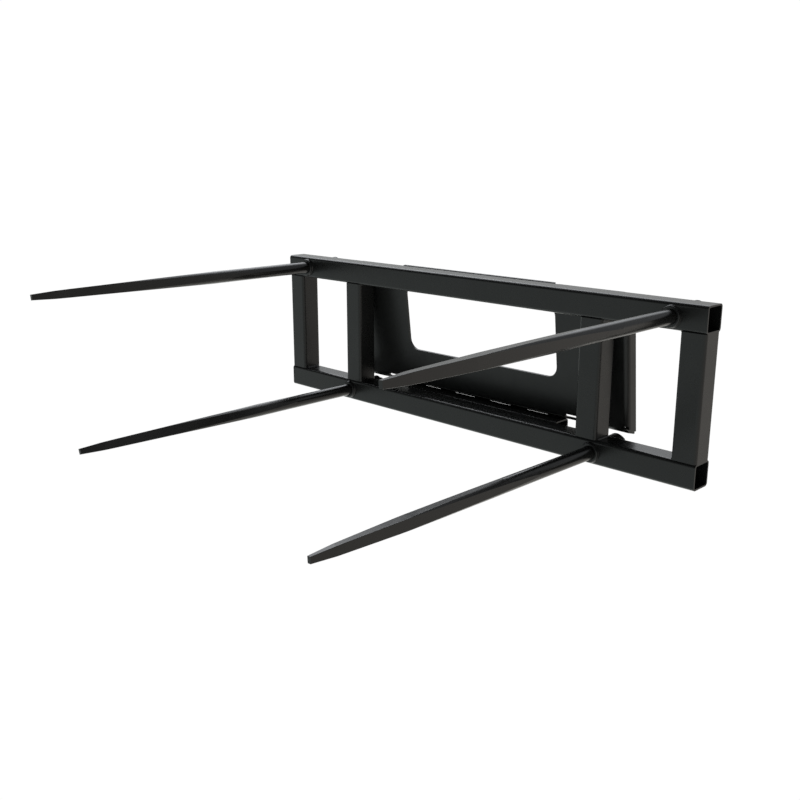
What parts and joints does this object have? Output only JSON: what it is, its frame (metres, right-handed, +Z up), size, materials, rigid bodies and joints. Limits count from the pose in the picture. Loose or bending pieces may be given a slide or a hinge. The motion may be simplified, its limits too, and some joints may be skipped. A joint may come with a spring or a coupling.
{
  "type": "bale spear",
  "caption": "Square-tube frame with long tapered steel tines that spear bales, on a bent plate that hooks onto a loader and is locked by its pins.",
  "frame": {"origin": "middle of the underside of the bottom beam", "axes": "+X along the frame to the right as seen by someone who faces the tine tips, -Y the way the tines point, +Z up"},
  "size_m": [1.743, 1.2491, 0.5143],
  "materials": {
    "frame_paint": "gloss black powder coat on welded square tube",
    "plate_paint": "gloss black powder coat on bent sheet",
    "tine_paint": "gloss black paint on forged bar",
    "hardware_paint": "gloss black paint on nuts and washers"
  },
  "bodies": {
    "root": {"top_beam": "frame_paint", "bottom_beam": "frame_paint", "outer_post_left": "frame_paint", "outer_post_right": "frame_paint", "inner_post_left": "frame_paint", "inner_post_right": "frame_paint", "spacer_tube": "frame_paint", "quick_attach_plate": "plate_paint", "spear_upper_left": "tine_paint", "spear_sleeve_upper_left": "frame_paint", "spear_washer_upper_left": "hardware_paint", "spear_nut_upper_left": "hardware_paint", "spear_upper_right": "tine_paint", "spear_sleeve_upper_right": "frame_paint", "spear_washer_upper_right": "hardware_paint", "spear_nut_upper_right": "hardware_paint", "spear_lower_left": "tine_paint", "spear_sleeve_lower_left": "frame_paint", "spear_washer_lower_left": "hardware_paint", "spear_nut_lower_left": "hardware_paint", "spear_lower_right": "tine_paint", "spear_sleeve_lower_right": "frame_paint", "spear_washer_lower_right": "hardware_paint", "spear_nut_lower_right": "hardware_paint"}
  },
  "joints": []
}
